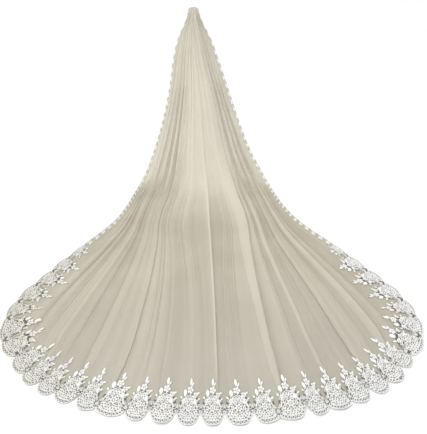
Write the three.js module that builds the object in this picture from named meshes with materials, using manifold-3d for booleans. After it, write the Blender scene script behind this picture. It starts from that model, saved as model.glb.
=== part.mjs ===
// Bridal veil of cathedral length, as it hangs from a hair comb at the crown of a standing wearer,
// falls over the back and shoulders, and spreads on the floor into a wide rounded train. The wearer
// faces +Y and is not part of the object. Millimetres, +Z up, origin at the middle of the comb's bar.
import * as THREE from 'three';
import { mergeVertices } from 'three/addons/utils/BufferGeometryUtils.js';
import Module from 'manifold-3d';

const wasm = await Module();
wasm.setup();

// ---------------------------------------------------------------- driving dimensions
const combHeight = 1690; // floor to comb: an average wearer in low heels
const tulleWall = 1.2;
const laceWall = 1.5;
const seamGap = 0.3; // clearance between sewn pieces
const edgingWidth = 60; // narrow lace up both side edges
const borderReach = 240; // wide lace, scallop tips to spire tips
const rimInset = 6; // scallop tips to the untrimmed edge of the cloth
const headRadius = 95; // the comb's bar follows the crown
const floorLevel = -combHeight;

// One row for each section across the veil, from the comb to the hem. x, y, z: its middle. half: middle
// to side edge, seen from behind. sweep: how far forward of the middle the side edges lie. drop: how far
// below it they lie. turn: degrees of arc from the middle to an edge. crowd: below 1, the folds crowd
// towards the edges. fold: height of the main folds.
const sections = [
  { x: 0, y: -7.5, z: 1.5, half: 47.5, sweep: 0, drop: 12.7, turn: 30, crowd: 1, fold: 2.5 },
  { x: 0, y: -34, z: -3, half: 49, sweep: 8, drop: 14, turn: 40, crowd: 1, fold: 5 },
  { x: 0, y: -62, z: -34, half: 54, sweep: 26, drop: 13, turn: 60, crowd: 0.95, fold: 7 },
  { x: 0, y: -84, z: -110, half: 82, sweep: 68, drop: 6, turn: 78, crowd: 0.9, fold: 10 },
  { x: 0, y: -96, z: -240, half: 155, sweep: 116, drop: 0, turn: 82, crowd: 0.85, fold: 14 },
  { x: 4, y: -107, z: -400, half: 219, sweep: 140, drop: 0, turn: 82, crowd: 0.8, fold: 18 },
  { x: 24, y: -128, z: -640, half: 290, sweep: 158, drop: 0, turn: 82, crowd: 0.74, fold: 22 },
  { x: 40, y: -160, z: -900, half: 372, sweep: 176, drop: 0, turn: 82, crowd: 0.7, fold: 24 },
  { x: 50, y: -212, z: -1150, half: 462, sweep: 200, drop: 0, turn: 81, crowd: 0.7, fold: 25 },
  { x: 60, y: -300, z: -1380, half: 556, sweep: 228, drop: 0, turn: 79, crowd: 0.7, fold: 25 },
  { x: 78, y: -430, z: -1560, half: 650, sweep: 262, drop: 0, turn: 76, crowd: 0.7, fold: 23 },
  { x: 86, y: -610, z: -1662, half: 715, sweep: 310, drop: 0, turn: 73, crowd: 0.68, fold: 20 },
  { x: 92, y: -850, z: floorLevel, half: 752, sweep: 364, drop: 0, turn: 70, crowd: 0.64, fold: 18 },
  { x: 106, y: -1200, z: floorLevel, half: 788, sweep: 412, drop: 0, turn: 65, crowd: 0.62, fold: 17 },
  { x: 128, y: -1550, z: floorLevel, half: 866, sweep: 446, drop: 0, turn: 61, crowd: 0.72, fold: 16 },
  { x: 150, y: -1900, z: floorLevel, half: 1032, sweep: 455, drop: 0, turn: 58, crowd: 0.86, fold: 16 },
  { x: 166, y: -2250, z: floorLevel, half: 1206, sweep: 452, drop: 0, turn: 56, crowd: 0.96, fold: 16 },
  { x: 172, y: -2460, z: floorLevel, half: 1292, sweep: 434, drop: 0, turn: 56, crowd: 1, fold: 16 },
  { x: 175, y: -2605, z: floorLevel, half: 1312, sweep: 425, drop: 0, turn: 58, crowd: 1, fold: 16 },
  { x: 177, y: -2718, z: floorLevel, half: 1284, sweep: 408, drop: 0, turn: 61, crowd: 1, fold: 15 },
  { x: 178, y: -2806, z: floorLevel, half: 1222, sweep: 370, drop: 0, turn: 66, crowd: 1, fold: 15 },
  { x: 178, y: -2876, z: floorLevel, half: 1072, sweep: 296, drop: 0, turn: 72, crowd: 1, fold: 15 },
];
const edgingTopRow = 2;
const borderTopRow = 15;

// The main folds, from the left edge (-1) to the right (1), each with its crest on the nearest column of
// the cloth. columns: width from foot to foot. high: share of the section's fold height.
const folds = [
  { at: -0.82, columns: 4, high: 0.7 },
  { at: -0.64, columns: 4, high: 0.9 },
  { at: -0.44, columns: 6, high: 1.2 },
  { at: -0.32, columns: 4, high: 0.8 },
  { at: -0.18, columns: 4, high: 1 },
  { at: -0.04, columns: 4, high: 0.6 },
  { at: 0.1, columns: 4, high: 0.5 },
  { at: 0.22, columns: 6, high: 1.3 },
  { at: 0.4, columns: 4, high: 1 },
  { at: 0.56, columns: 4, high: 0.9 },
  { at: 0.71, columns: 6, high: 1.4 },
  { at: 0.88, columns: 4, high: 0.5 },
];
const foldColumns = 56;
const edgingColumns = 2;

// The wide lace in three sewn lengths. from, to: share of the way round the rim. repeats: motifs.
// notch: depth of the gap between two scallops.
const borderStretches = [
  { name: 'border_left', from: 0, to: 0.25, repeats: 7, notch: 30 },
  { name: 'border_hem', from: 0.25, to: 0.75, repeats: 19, notch: 42 },
  { name: 'border_right', from: 0.75, to: 1, repeats: 7, notch: 30 },
];
// One motif: at is the share of its width, reach the share of borderReach that it runs inward.
const motifOutline = [
  { at: 0, reach: 0.42 },
  { at: 0.36, reach: 0.62 },
  { at: 0.46, reach: 0.97 },
  { at: 0.54, reach: 0.97 },
  { at: 0.64, reach: 0.62 },
];
const scallopSteps = [0, 0.14, 0.5, 0.86];
const growingMotifs = 2.5; // the border grows from the narrow edging over this many motifs

// ---------------------------------------------------------------- materials
const tulleFinish = { color: 0xcdc3ab, roughness: 0.9, metalness: 0 };
const laceFinish = { color: 0xeceae4, roughness: 0.8, metalness: 0 };
const bindingFinish = { color: 0xe6dfd0, roughness: 0.6, metalness: 0 };
const combFinish = { color: 0xd8d9dc, roughness: 0.3, metalness: 0.9 };

// ---------------------------------------------------------------- solids
function toSolid(geometry) {
  geometry.deleteAttribute('normal');
  geometry.deleteAttribute('uv');
  const merged = mergeVertices(geometry, 1e-4);
  const vertProperties = new Float32Array(merged.attributes.position.array);
  const triVerts = new Uint32Array(merged.index.array);
  return new wasm.Manifold(new wasm.Mesh({ numProp: 3, vertProperties, triVerts }));
}

function toGeometry(solid) {
  const { vertProperties, triVerts } = solid.getMesh();
  const geometry = new THREE.BufferGeometry();
  geometry.setAttribute('position', new THREE.Float32BufferAttribute(vertProperties, 3));
  geometry.setIndex(new THREE.Uint32BufferAttribute(triVerts, 1));
  geometry.computeVertexNormals();
  return geometry;
}

// A tall upright prism on a plan outline, to trim cloth with.
function planPrism(outline) {
  const depth = combHeight + 200;
  const prism = new THREE.ExtrudeGeometry(new THREE.Shape(outline), { depth, bevelEnabled: false });
  return toSolid(prism.translate(0, 0, floorLevel - 50));
}

// ---------------------------------------------------------------- the cloth's surface
function sectionPoint(section, share) {
  const turn = THREE.MathUtils.degToRad(section.turn);
  const outward = Math.sin(share * turn) / Math.sin(turn);
  const round = (1 - Math.cos(share * turn)) / (1 - Math.cos(turn));
  return new THREE.Vector3(
    section.x + section.half * outward,
    section.y + section.sweep * round,
    section.z - section.drop * round,
  );
}

// Shares of the half-section at which the columns cross it: even columns between the two edgings, which
// keep their width in millimetres all the way down.
function columnShares(section) {
  const nearEdge = sectionPoint(section, 0.98);
  const lengthPerShare = nearEdge.distanceTo(sectionPoint(section, 1)) / 0.02;
  const edging = Math.min(edgingWidth / lengthPerShare, 0.25);
  const shares = [];
  for (let column = 0; column <= foldColumns; column++) {
    const even = (2 * column) / foldColumns - 1;
    shares.push(Math.sign(even) * Math.abs(even) ** section.crowd * (1 - edging));
  }
  for (let column = 1; column <= edgingColumns; column++) {
    const share = 1 - edging + (edging * column) / edgingColumns;
    shares.push(share);
    shares.unshift(-share);
  }
  return shares;
}

function foldHeight(section, column) {
  const fromMiddle = column - edgingColumns - foldColumns / 2;
  let height = 0;
  for (const fold of folds) {
    const crest = Math.round((fold.at * foldColumns) / 2);
    const away = Math.abs(fromMiddle - crest) / (fold.columns / 2);
    if (away < 1) height += section.fold * fold.high * Math.cos((away * Math.PI) / 2) ** 2;
  }
  return height;
}

// True where a cell is split from its upper left to its lower right corner, its shorter diagonal.
function splitsForward(points, row, column) {
  const forward = points[row][column].distanceTo(points[row + 1][column + 1]);
  return forward <= points[row][column + 1].distanceTo(points[row + 1][column]);
}

// Normals that point away from the wearer, and up on the floor.
function surfaceNormals(points) {
  const normals = points.map((row) => row.map(() => new THREE.Vector3()));
  const facet = new THREE.Triangle();
  const normal = new THREE.Vector3();
  for (let row = 0; row < points.length - 1; row++) {
    for (let column = 0; column < points[row].length - 1; column++) {
      for (const corners of cellTriangles(points, row, column)) {
        facet.set(...corners.map(([r, c]) => points[r][c]));
        facet.getNormal(normal).multiplyScalar(facet.getArea());
        for (const [r, c] of corners) normals[r][c].add(normal);
      }
    }
  }
  return normals.map((row) => row.map((sum) => sum.normalize()));
}

function cellTriangles(points, row, column) {
  const a = [row, column];
  const b = [row, column + 1];
  const c = [row + 1, column + 1];
  const d = [row + 1, column];
  return splitsForward(points, row, column) ? [[a, d, c], [a, c, b]] : [[a, d, b], [d, c, b]];
}

function makeCloth() {
  const flat = sections.map((section) => columnShares(section).map((s) => sectionPoint(section, s)));
  const away = surfaceNormals(flat);
  const points = flat.map((row, r) =>
    row.map((point, c) => point.clone().addScaledVector(away[r][c], foldHeight(sections[r], c))),
  );
  return { flat, points, normals: surfaceNormals(points) };
}

// The closed wall between two distances from the cloth's underside, over a span of rows and columns.
function wall(cloth, span, inner, outer) {
  const across = span.right - span.left + 1;
  const layer = across * (span.bottom - span.top + 1);
  const positions = [];
  for (const lift of [inner, outer]) {
    for (let row = span.top; row <= span.bottom; row++) {
      for (let column = span.left; column <= span.right; column++) {
        const point = cloth.points[row][column].clone();
        positions.push(...point.addScaledVector(cloth.normals[row][column], lift));
      }
    }
  }
  const indexOf = ([row, column]) => (row - span.top) * across + column - span.left;
  const faces = [];
  for (let row = span.top; row < span.bottom; row++) {
    for (let column = span.left; column < span.right; column++) {
      for (const corners of cellTriangles(cloth.points, row, column)) {
        const [p, q, r] = corners.map(indexOf);
        faces.push(layer + p, layer + q, layer + r, p, r, q);
      }
    }
  }
  const rim = [];
  for (let row = span.top; row < span.bottom; row++) rim.push(indexOf([row, span.left]));
  for (let column = span.left; column < span.right; column++) rim.push(indexOf([span.bottom, column]));
  for (let row = span.bottom; row > span.top; row--) rim.push(indexOf([row, span.right]));
  for (let column = span.right; column > span.left; column--) rim.push(indexOf([span.top, column]));
  rim.forEach((p, i) => {
    const q = rim[(i + 1) % rim.length];
    faces.push(layer + q, layer + p, p, layer + q, p, q);
  });
  const geometry = new THREE.BufferGeometry();
  geometry.setAttribute('position', new THREE.Float32BufferAttribute(positions, 3));
  geometry.setIndex(faces);
  return geometry;
}

// ---------------------------------------------------------------- the train's rim, seen from above
function makeRim(cloth) {
  const rows = cloth.flat.slice(borderTopRow);
  const left = rows.map((row) => row[0]);
  const hem = rows.at(-1).slice(1, -1);
  const right = rows.map((row) => row.at(-1)).reverse();
  const curve = new THREE.CatmullRomCurve3([...left, ...hem, ...right].map((p) => p.clone().setZ(0)));
  curve.arcLengthDivisions = 2000;
  return curve;
}

// The point a share of the way round the rim, moved in towards the middle of the train.
function rimPoint(rim, share, inward) {
  const point = rim.getPointAt(share);
  const along = rim.getTangentAt(share);
  return new THREE.Vector2(point.x - along.y * inward, point.y + along.x * inward);
}

function scallopPoints(rim, stretch) {
  const points = [];
  for (let motif = 0; motif < stretch.repeats; motif++) {
    for (const step of scallopSteps) {
      const share = stretch.from + ((stretch.to - stretch.from) * (motif + step)) / stretch.repeats;
      const dip = 1 - Math.sqrt(1 - (2 * step - 1) ** 2);
      points.push(rimPoint(rim, share, rimInset + stretch.notch * dip));
    }
  }
  return points;
}

function motifPoints(rim, stretch) {
  const motifShare = (stretch.to - stretch.from) / stretch.repeats;
  const points = [];
  for (let motif = 0; motif < stretch.repeats; motif++) {
    for (const { at, reach } of motifOutline) {
      const share = stretch.from + motifShare * (motif + at);
      const motifsFromEnd = Math.min(share, 1 - share) / motifShare;
      const grown = THREE.MathUtils.smoothstep(motifsFromEnd, 0, growingMotifs);
      const inward = THREE.MathUtils.lerp(edgingWidth, borderReach * reach, grown);
      points.push(rimPoint(rim, share, Math.max(inward, edgingWidth)));
    }
  }
  return points;
}

// The whole cloth's plan: scalloped round the train, and wide open over the part that hangs.
function trainPlan(rim) {
  const sideRoom = 300;
  const front = 500;
  const start = rimPoint(rim, 0, 0);
  const end = rimPoint(rim, 1, 0);
  return [
    ...borderStretches.flatMap((stretch) => scallopPoints(rim, stretch)),
    rimPoint(rim, 1, rimInset + borderStretches.at(-1).notch),
    rimPoint(rim, 1, -rimInset),
    new THREE.Vector2(end.x + sideRoom, end.y + sideRoom),
    new THREE.Vector2(end.x + sideRoom, front),
    new THREE.Vector2(start.x - sideRoom, front),
    new THREE.Vector2(start.x - sideRoom, start.y + sideRoom),
    rimPoint(rim, 0, -rimInset),
  ];
}

function stretchPlan(rim, stretch) {
  const trim = seamGap / 2 / rim.getLength();
  const cut = { ...stretch, from: stretch.from + trim, to: stretch.to - trim };
  return [
    ...scallopPoints(rim, cut),
    rimPoint(rim, cut.to, rimInset + cut.notch),
    rimPoint(rim, cut.to, borderReach * motifOutline[0].reach),
    ...motifPoints(rim, cut).reverse(),
  ];
}

// ---------------------------------------------------------------- pieces
function named(name, geometry, finish) {
  const mesh = new THREE.Mesh(geometry, new THREE.MeshStandardMaterial(finish));
  mesh.name = name;
  return mesh;
}

const wholeCloth = {
  top: 0,
  bottom: sections.length - 1,
  left: 0,
  right: foldColumns + 2 * edgingColumns,
};
const train = { ...wholeCloth, top: borderTopRow - 2 };

function tullePanel(cloth, rim) {
  const untrimmed = toSolid(wall(cloth, wholeCloth, 0, tulleWall));
  return named('tulle_panel', toGeometry(untrimmed.intersect(planPrism(trainPlan(rim)))), tulleFinish);
}

// Narrow lace up one side edge, cut square to the rim where the wide lace starts.
function edging(cloth, rim, side) {
  const last = wholeCloth.right;
  const span = {
    top: edgingTopRow,
    bottom: borderTopRow + 1,
    left: side < 0 ? 0 : last - edgingColumns,
    right: side < 0 ? edgingColumns : last,
  };
  const lift = tulleWall + seamGap;
  const strip = toSolid(wall(cloth, span, lift, lift + laceWall));
  const end = side < 0 ? 0 : 1;
  const forward = rim.getTangentAt(end).multiplyScalar(side);
  const cutAt = forward.dot(rim.getPointAt(end)) + seamGap;
  const name = side < 0 ? 'edging_left' : 'edging_right';
  return named(name, toGeometry(strip.trimByPlane(forward.toArray(), cutAt)), laceFinish);
}

// A length of the wide lace, scalloped outside and stepped up to a spire in each motif.
function border(cloth, rim, stretch) {
  const lift = tulleWall + seamGap;
  const sheet = toSolid(wall(cloth, train, lift, lift + laceWall));
  const prism = planPrism(stretchPlan(rim, stretch));
  return named(stretch.name, toGeometry(sheet.intersect(prism)), laceFinish);
}

// A bar that follows the crown: thickness from inner to outer over the comb's middle line.
function crownBar(halfAngle, inner, outer, back, front) {
  const shape = new THREE.Shape();
  const upright = Math.PI / 2;
  shape.absarc(0, 0, headRadius + outer, upright - halfAngle, upright + halfAngle, false);
  shape.absarc(0, 0, headRadius + inner, upright + halfAngle, upright - halfAngle, true);
  const bar = new THREE.ExtrudeGeometry(shape, { depth: front - back, bevelEnabled: false, curveSegments: 20 });
  return bar.rotateX(Math.PI / 2).translate(0, front, -headRadius);
}

const combHalfAngle = THREE.MathUtils.degToRad(30);
const barBack = -7;
const barFront = 3;
const combThickness = 1.6;

function comb() {
  const teeth = 19;
  const toothLength = 42;
  const toothWidth = 2.6;
  const toothSlope = THREE.MathUtils.degToRad(-10);
  const rooted = 2;
  const outline = new THREE.Shape([
    new THREE.Vector2(-toothWidth / 2, -rooted),
    new THREE.Vector2(toothWidth / 2, -rooted),
    new THREE.Vector2(toothWidth * 0.36, toothLength * 0.85),
    new THREE.Vector2(0, toothLength),
    new THREE.Vector2(-toothWidth * 0.36, toothLength * 0.85),
  ]);
  let solid = toSolid(crownBar(combHalfAngle, -combThickness / 2, combThickness / 2, barBack, barFront));
  for (let i = 0; i < teeth; i++) {
    const round = combHalfAngle * 0.96 * ((2 * i) / (teeth - 1) - 1);
    const tooth = new THREE.ExtrudeGeometry(outline, { depth: combThickness * 0.8, bevelEnabled: false });
    tooth.translate(0, 0, -combThickness * 0.4).rotateX(toothSlope).translate(0, barFront, headRadius);
    tooth.rotateY(round).translate(0, 0, -headRadius);
    solid = solid.add(toSolid(tooth));
  }
  return named('comb', toGeometry(solid), combFinish);
}

// The ribbon that binds the gathered top of the tulle down on the comb's bar.
function gatherBinding() {
  const bindingThickness = 4;
  const under = combThickness / 2 + seamGap;
  const bar = crownBar(combHalfAngle, under, under + bindingThickness, barBack, barFront);
  return named('gather_binding', toGeometry(toSolid(bar)), bindingFinish);
}

const cloth = makeCloth();
const rim = makeRim(cloth);
const veil = new THREE.Group();
veil.add(tullePanel(cloth, rim));
veil.add(edging(cloth, rim, -1), edging(cloth, rim, 1));
for (const stretch of borderStretches) veil.add(border(cloth, rim, stretch));
veil.add(gatherBinding(), comb());

export default veil;
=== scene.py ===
"""Bridal veil of cathedral length: sheer tulle gathered on a hair comb, with scalloped corded lace.

Metres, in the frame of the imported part: the comb's bar is at the origin, the wearer would face +Y and the
train lies behind, towards -Y. The veil keeps the hollow form of its wearer, who is not part of it.
"""
import math

import bmesh
import bpy
import numpy as np
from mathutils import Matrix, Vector
from mathutils.bvhtree import BVHTree
from mathutils.kdtree import KDTree


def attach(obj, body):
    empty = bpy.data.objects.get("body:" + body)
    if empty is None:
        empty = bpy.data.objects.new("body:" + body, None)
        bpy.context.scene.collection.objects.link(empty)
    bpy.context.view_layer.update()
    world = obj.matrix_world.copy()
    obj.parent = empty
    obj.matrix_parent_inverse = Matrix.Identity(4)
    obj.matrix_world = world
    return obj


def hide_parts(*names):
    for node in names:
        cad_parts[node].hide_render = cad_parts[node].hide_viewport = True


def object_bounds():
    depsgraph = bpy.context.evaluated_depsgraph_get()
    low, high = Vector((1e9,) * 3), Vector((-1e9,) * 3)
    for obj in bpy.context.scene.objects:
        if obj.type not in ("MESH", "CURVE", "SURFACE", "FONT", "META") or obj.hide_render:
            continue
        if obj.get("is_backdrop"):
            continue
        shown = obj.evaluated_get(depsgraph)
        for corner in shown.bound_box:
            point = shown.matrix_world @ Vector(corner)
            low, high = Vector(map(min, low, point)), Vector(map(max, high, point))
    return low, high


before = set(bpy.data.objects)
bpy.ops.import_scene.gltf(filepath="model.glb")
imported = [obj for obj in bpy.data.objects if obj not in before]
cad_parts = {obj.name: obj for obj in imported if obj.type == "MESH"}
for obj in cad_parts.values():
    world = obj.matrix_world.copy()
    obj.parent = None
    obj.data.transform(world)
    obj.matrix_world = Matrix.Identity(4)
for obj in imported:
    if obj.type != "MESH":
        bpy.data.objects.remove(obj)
cad_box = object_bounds()
FLOOR = cad_box[0].z

# ------------------------------------------------------------------ sizes, in metres
MM = 0.001
TULLE_THICK = 0.5 * MM
REST_LIFT = 0.5 * MM  # the tulle's middle over the floor that it rests on
LACE_LIFT = 2.2 * MM  # height of the lace net over the tulle's underside
NARROW_LACE = 60 * MM
WIDE_LACE = 240 * MM
RIM_INSET = 6 * MM  # scallop tips to the sheet's full outline
WIDE_LACE_ROW = 15  # the section whose edges the wide lace starts at
EDGING_ROW = 2
EDGING_LIMIT = 0.25  # the narrow lace takes up no more of a half-section than this
CROWN = 95 * MM  # radius that the comb's bar follows
BAR_TURN = math.radians(30)
BAND_FOOT = 1.1 * MM  # the ribbon's underside over the bar's middle line
BAND_THICK = 4 * MM
BAND_MIDDLE = -2 * MM
BAND_HALF = 5 * MM
RUCHES = 12
STITCH = 0.4 * MM
NET_THICK = 0.4 * MM  # the lace's net
NET_STEPS = 22  # columns of the wide net in one motif
NET_DEEP = 12  # its rows, rim to inner edge
EDGING_STEPS = 181  # columns of the narrow net
EDGING_DEEP = 7
BAND_SIDES = 14  # points round the ribbon's section

# One row for each section across the veil, from comb to hem. x, y, z: its middle. half: middle to side
# edge. sweep, drop: how far forward of the middle and below it the edges lie. turn: degrees of arc from
# middle to edge. crowd: below 1, folds crowd towards the edges.
SECTION_NAMES = ("x", "y", "z", "half", "sweep", "drop", "turn", "crowd")
SECTIONS = np.array([
    (0, -0.0075, 0.0015, 0.0475, 0, 0.0127, 30, 1),
    (0, -0.034, -0.003, 0.049, 0.008, 0.014, 40, 1),
    (0, -0.062, -0.034, 0.054, 0.026, 0.013, 60, 0.95),
    (0, -0.084, -0.110, 0.082, 0.068, 0.006, 78, 0.9),
    (0, -0.096, -0.240, 0.155, 0.116, 0, 82, 0.85),
    (0.004, -0.107, -0.400, 0.219, 0.140, 0, 82, 0.8),
    (0.024, -0.128, -0.640, 0.290, 0.158, 0, 82, 0.74),
    (0.040, -0.160, -0.900, 0.372, 0.176, 0, 82, 0.7),
    (0.050, -0.212, -1.150, 0.462, 0.200, 0, 81, 0.7),
    (0.060, -0.300, -1.380, 0.556, 0.228, 0, 79, 0.7),
    (0.078, -0.430, -1.560, 0.650, 0.262, 0, 76, 0.7),
    (0.086, -0.610, -1.662, 0.715, 0.310, 0, 73, 0.68),
    (0.092, -0.850, FLOOR, 0.752, 0.364, 0, 70, 0.64),
    (0.106, -1.200, FLOOR, 0.788, 0.412, 0, 65, 0.62),
    (0.128, -1.550, FLOOR, 0.866, 0.446, 0, 61, 0.72),
    (0.150, -1.900, FLOOR, 1.032, 0.455, 0, 58, 0.86),
    (0.166, -2.250, FLOOR, 1.206, 0.452, 0, 56, 0.96),
    (0.172, -2.460, FLOOR, 1.292, 0.434, 0, 56, 1),
    (0.175, -2.605, FLOOR, 1.312, 0.425, 0, 58, 1),
    (0.177, -2.718, FLOOR, 1.284, 0.408, 0, 61, 1),
    (0.178, -2.806, FLOOR, 1.222, 0.370, 0, 66, 1),
    (0.178, -2.876, FLOOR, 1.072, 0.296, 0, 72, 1),
])


def named_rows(names, rows):
    """A short table as a list of rows whose values are read by name."""
    return [dict(zip(names, row)) for row in rows]


# Tucks, where the sheet doubles back and lies three deep. at: place between the edges at the hem (-1 to
# 1). room: half the width it works in. fall, hem: its width at the floor bend and above the lace, mm.
# top: the side its upper fold faces. start: metres from the comb to where it opens.
TUCKS = named_rows(("at", "room", "fall", "hem", "top", "start"), [
    (-0.64, 0.05, 34, 26, -1, 0.5),
    (-0.45, 0.06, 66, 58, -1, 0.3),
    (-0.33, 0.05, 44, 46, 1, 0.6),
    (-0.17, 0.05, 52, 16, -1, 0.1),
    (0.02, 0.03, 20, 12, 1, 0.9),
    (0.225, 0.09, 120, 46, 1, 0.15),
    (0.4, 0.045, 44, 24, 1, 0.4),
    (0.555, 0.045, 26, 30, -1, 0.7),
    (0.715, 0.06, 40, 72, 1, 0.5),
])
FANNING = (0, 0.05, 0.25, 0.5, 0.95)  # at the last sections, so that folds run straight to the hem
TUCK_LIMIT = 1.35  # a tuck is never wider than this many half rooms, so that it folds cleanly
LAYER_GAP = 2.0 * MM
PLAIN_TONE = 0.25  # the "gathered" value of plain single net; below it lies painted shade in the hollows beside folds

# Sharp narrow pleats that run down the fan of the train. room: half their width, as a share.
PLEATS = named_rows(("at", "high", "room", "start", "end"), [
    (-0.885, 6, 0.012, 1.5, 3.6),
    (-0.805, 8, 0.01, 0.9, 4.2),
    (-0.745, 5, 0.009, 0.3, 3.9),
    (-0.715, 7, 0.01, 1.8, 4.3),
    (-0.566, 7, 0.009, 0.2, 4.3),
    (-0.535, 5, 0.009, 1.4, 3.8),
    (-0.262, 6, 0.008, 0.8, 4.0),
    (-0.238, 8, 0.009, 0.2, 4.3),
    (-0.103, 8, 0.008, 1.3, 3.8),
    (-0.078, 5, 0.008, 0.2, 3.2),
    (-0.052, 8, 0.007, 1.6, 3.5),
    (-0.026, 5, 0.008, 0.6, 3.0),
    (0.066, 7, 0.008, 0.9, 4.2),
    (0.116, 6, 0.009, 0.3, 4.0),
    (0.335, 7, 0.009, 0.4, 4.3),
    (0.462, 8, 0.009, 1.1, 4.1),
    (0.489, 5, 0.009, 0.2, 3.5),
    (0.618, 5, 0.01, 1.6, 4.0),
    (0.642, 8, 0.009, 0.4, 4.3),
    (0.803, 6, 0.01, 0.8, 4.2),
    (0.835, 8, 0.01, 1.9, 4.3),
    (0.893, 5, 0.012, 1.2, 3.4),
])

# Soft creases between the tucks. high: mm. wide: foot to foot, as a share. start, end: metres from comb.
CREASES = named_rows(("at", "high", "wide", "start", "end"), [
    (-0.9, 7, 0.07, 0.9, 3.2),
    (-0.82, 12, 0.08, 0.2, 4.3),
    (-0.74, 6, 0.05, 1.3, 4.0),
    (-0.57, 9, 0.06, 0.6, 4.3),
    (-0.52, 5, 0.04, 1.9, 3.9),
    (-0.39, 8, 0.04, 0.2, 4.1),
    (-0.26, 8, 0.05, 1.2, 4.3),
    (-0.21, 4, 0.03, 0.2, 2.9),
    (-0.11, 8, 0.04, 0.1, 3.4),
    (-0.06, 9, 0.035, 0.5, 2.7),
    (-0.02, 6, 0.03, 1.2, 3.0),
    (0.075, 7, 0.04, 0.2, 4.2),
    (0.33, 9, 0.05, 0.9, 4.3),
    (0.47, 8, 0.05, 0.3, 3.8),
    (0.505, 4, 0.03, 2.0, 4.2),
    (0.63, 11, 0.06, 0.6, 4.3),
    (0.8, 13, 0.07, 1.0, 4.3),
    (0.88, 6, 0.05, 0.5, 3.4),
])

# The wide lace in its three sewn lengths, as shares of the way round the rim.
STRETCHES = [
    {"node": "border_left", "start": 0, "end": 0.25, "motifs": 7, "notch": 30 * MM},
    {"node": "border_hem", "start": 0.25, "end": 0.75, "motifs": 19, "notch": 42 * MM},
    {"node": "border_right", "start": 0.75, "end": 1, "motifs": 7, "notch": 30 * MM},
]
GROWING_MOTIFS = 2.2
FIRST_MOTIF = 0.42  # size of the wide lace's first and last motifs

# How much deeper or shallower than drawn each notch between two motifs of the hem's lace is, mm, from
# left to right: some tongues stand well apart, others run together in a band.
HEM_NOTCHES = (10, -6, 18, 4, 34, -14, -4, 36, 30, 34, 32, 30, -14, 38, -4, -12, 32, 6, 26, 0)
SIDE_NOTCHES = -13


def smoothstep(value, low, high):
    t = np.clip((value - low) / (high - low), 0, 1)
    return t * t * (3 - 2 * t)


# ------------------------------------------------------------------ the cloth's surface
def smooth_curve(knots, values, at):
    """A smooth curve through the knots, read at the given places."""
    slopes = np.gradient(values, knots)
    left = np.clip(np.searchsorted(knots, at) - 1, 0, len(knots) - 2)
    span = knots[left + 1] - knots[left]
    t = (at - knots[left]) / span
    rise = (2 * t**3 - 3 * t**2 + 1) * values[left] + (3 * t**2 - 2 * t**3) * values[left + 1]
    lean = (t**3 - 2 * t**2 + t) * slopes[left] + (t**3 - t**2) * slopes[left + 1]
    return rise + lean * span


SECTION_LENGTHS = np.concatenate(
    ([0], np.cumsum(np.linalg.norm(np.diff(SECTIONS[:, :3], axis=0), axis=1)))
)
VEIL_LENGTH = SECTION_LENGTHS[-1]


def sections_at(lengths):
    """The section values at these lengths along the veil's middle, comb to hem."""
    lengths = np.asarray(lengths, float)
    found = {}
    for i, name in enumerate(SECTION_NAMES):
        found[name] = smooth_curve(SECTION_LENGTHS, SECTIONS[:, i], lengths)
    found["z"] = np.maximum(found["z"], FLOOR)
    found["sweep"] = np.maximum(found["sweep"], 0)
    found["fan"] = np.interp(lengths, SECTION_LENGTHS[-len(FANNING):], FANNING)
    return found


def surface(section, share):
    """Points of the smooth cloth at a share of the half-section, -1 at the left edge and 1 at the right."""
    turn = np.radians(section["turn"])
    outward = np.sin(share * turn) / np.sin(turn)
    round_ = (1 - np.cos(share * turn)) / (1 - np.cos(turn))
    return np.stack([
        section["x"] + section["half"] * outward,
        section["y"] + section["sweep"] * round_,
        section["z"] - section["drop"] * round_,
    ], axis=-1)


def metres_per_share(section, share):
    step = 0.004
    ahead = surface(section, share + step)
    behind = surface(section, share - step)
    return np.linalg.norm(ahead - behind, axis=-1) / (2 * step)


def unit(vectors):
    return vectors / np.maximum(np.linalg.norm(vectors, axis=-1, keepdims=True), 1e-12)


def outward_normals(lengths, share):
    """Away from the wearer, and straight up where the cloth lies on the floor."""
    step = 0.006
    along = surface(sections_at(lengths + step), share) - surface(sections_at(lengths - step), share)
    across = surface(sections_at(lengths), share + step) - surface(sections_at(lengths), share - step)
    return unit(np.cross(unit(along), unit(across)) + np.array([0, 0, 1e-4]))


# ------------------------------------------------------------------ the tulle
def row_lengths():
    """Rows close together where the veil rounds the head, wider apart below."""
    head = np.arange(0, 0.30, 0.012)
    rest = np.linspace(0.30, VEIL_LENGTH, 118)
    return np.concatenate((head, rest))


# Where the columns of a tuck's room lie: over, back under and over again. room, width: how far from its
# middle in half rooms and in tuck widths. layer: how many layers lie below. tone: painted highlight on a
# fold's crest, painted shade in the hollow beside it.
TUCK_PATH = named_rows(("room", "width", "layer", "tone"), [
    (-1.0, 0.0, 0.0, 0.0),
    (-0.5, -0.25, 1.2, 0.0),
    (0.0, -0.53, 2.0, 0.5),
    (0.0, -0.45, 2.0, 0.2),
    (0.0, 0.0, 2.0, 0.0),
    (0.0, 0.42, 2.0, 0.2),
    (0.0, 0.5, 1.5, 0.9),
    (0.0, 0.44, 1.0, 0.0),
    (0.0, 0.0, 1.0, 0.0),
    (0.0, -0.5, 0.5, 0.0),
    (0.0, -0.44, 0.0, 0.0),
    (0.0, 0.0, 0.0, 0.0),
    (0.0, 0.49, 0.0, -0.9),
    (0.04, 0.58, 0.0, -1.0),
    (0.5, 0.25, 0.0, 0.0),
    (1.0, 0.0, 0.0, 0.0),
])

# The columns across a pleat, from foot to foot. tone: painted highlight on its crest, painted shade in the
# hollows beside it.
PLEAT_STEPS = named_rows(("across", "rise", "tone"), [
    (-1.0, 0.0, 0.0),
    (-0.6, 0.08, -0.35),
    (-0.2, 0.85, 0.1),
    (0.05, 1.0, 1.0),
    (0.3, 0.7, 0.3),
    (0.6, 0.05, -0.7),
    (1.0, 0.0, 0.0),
])


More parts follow.
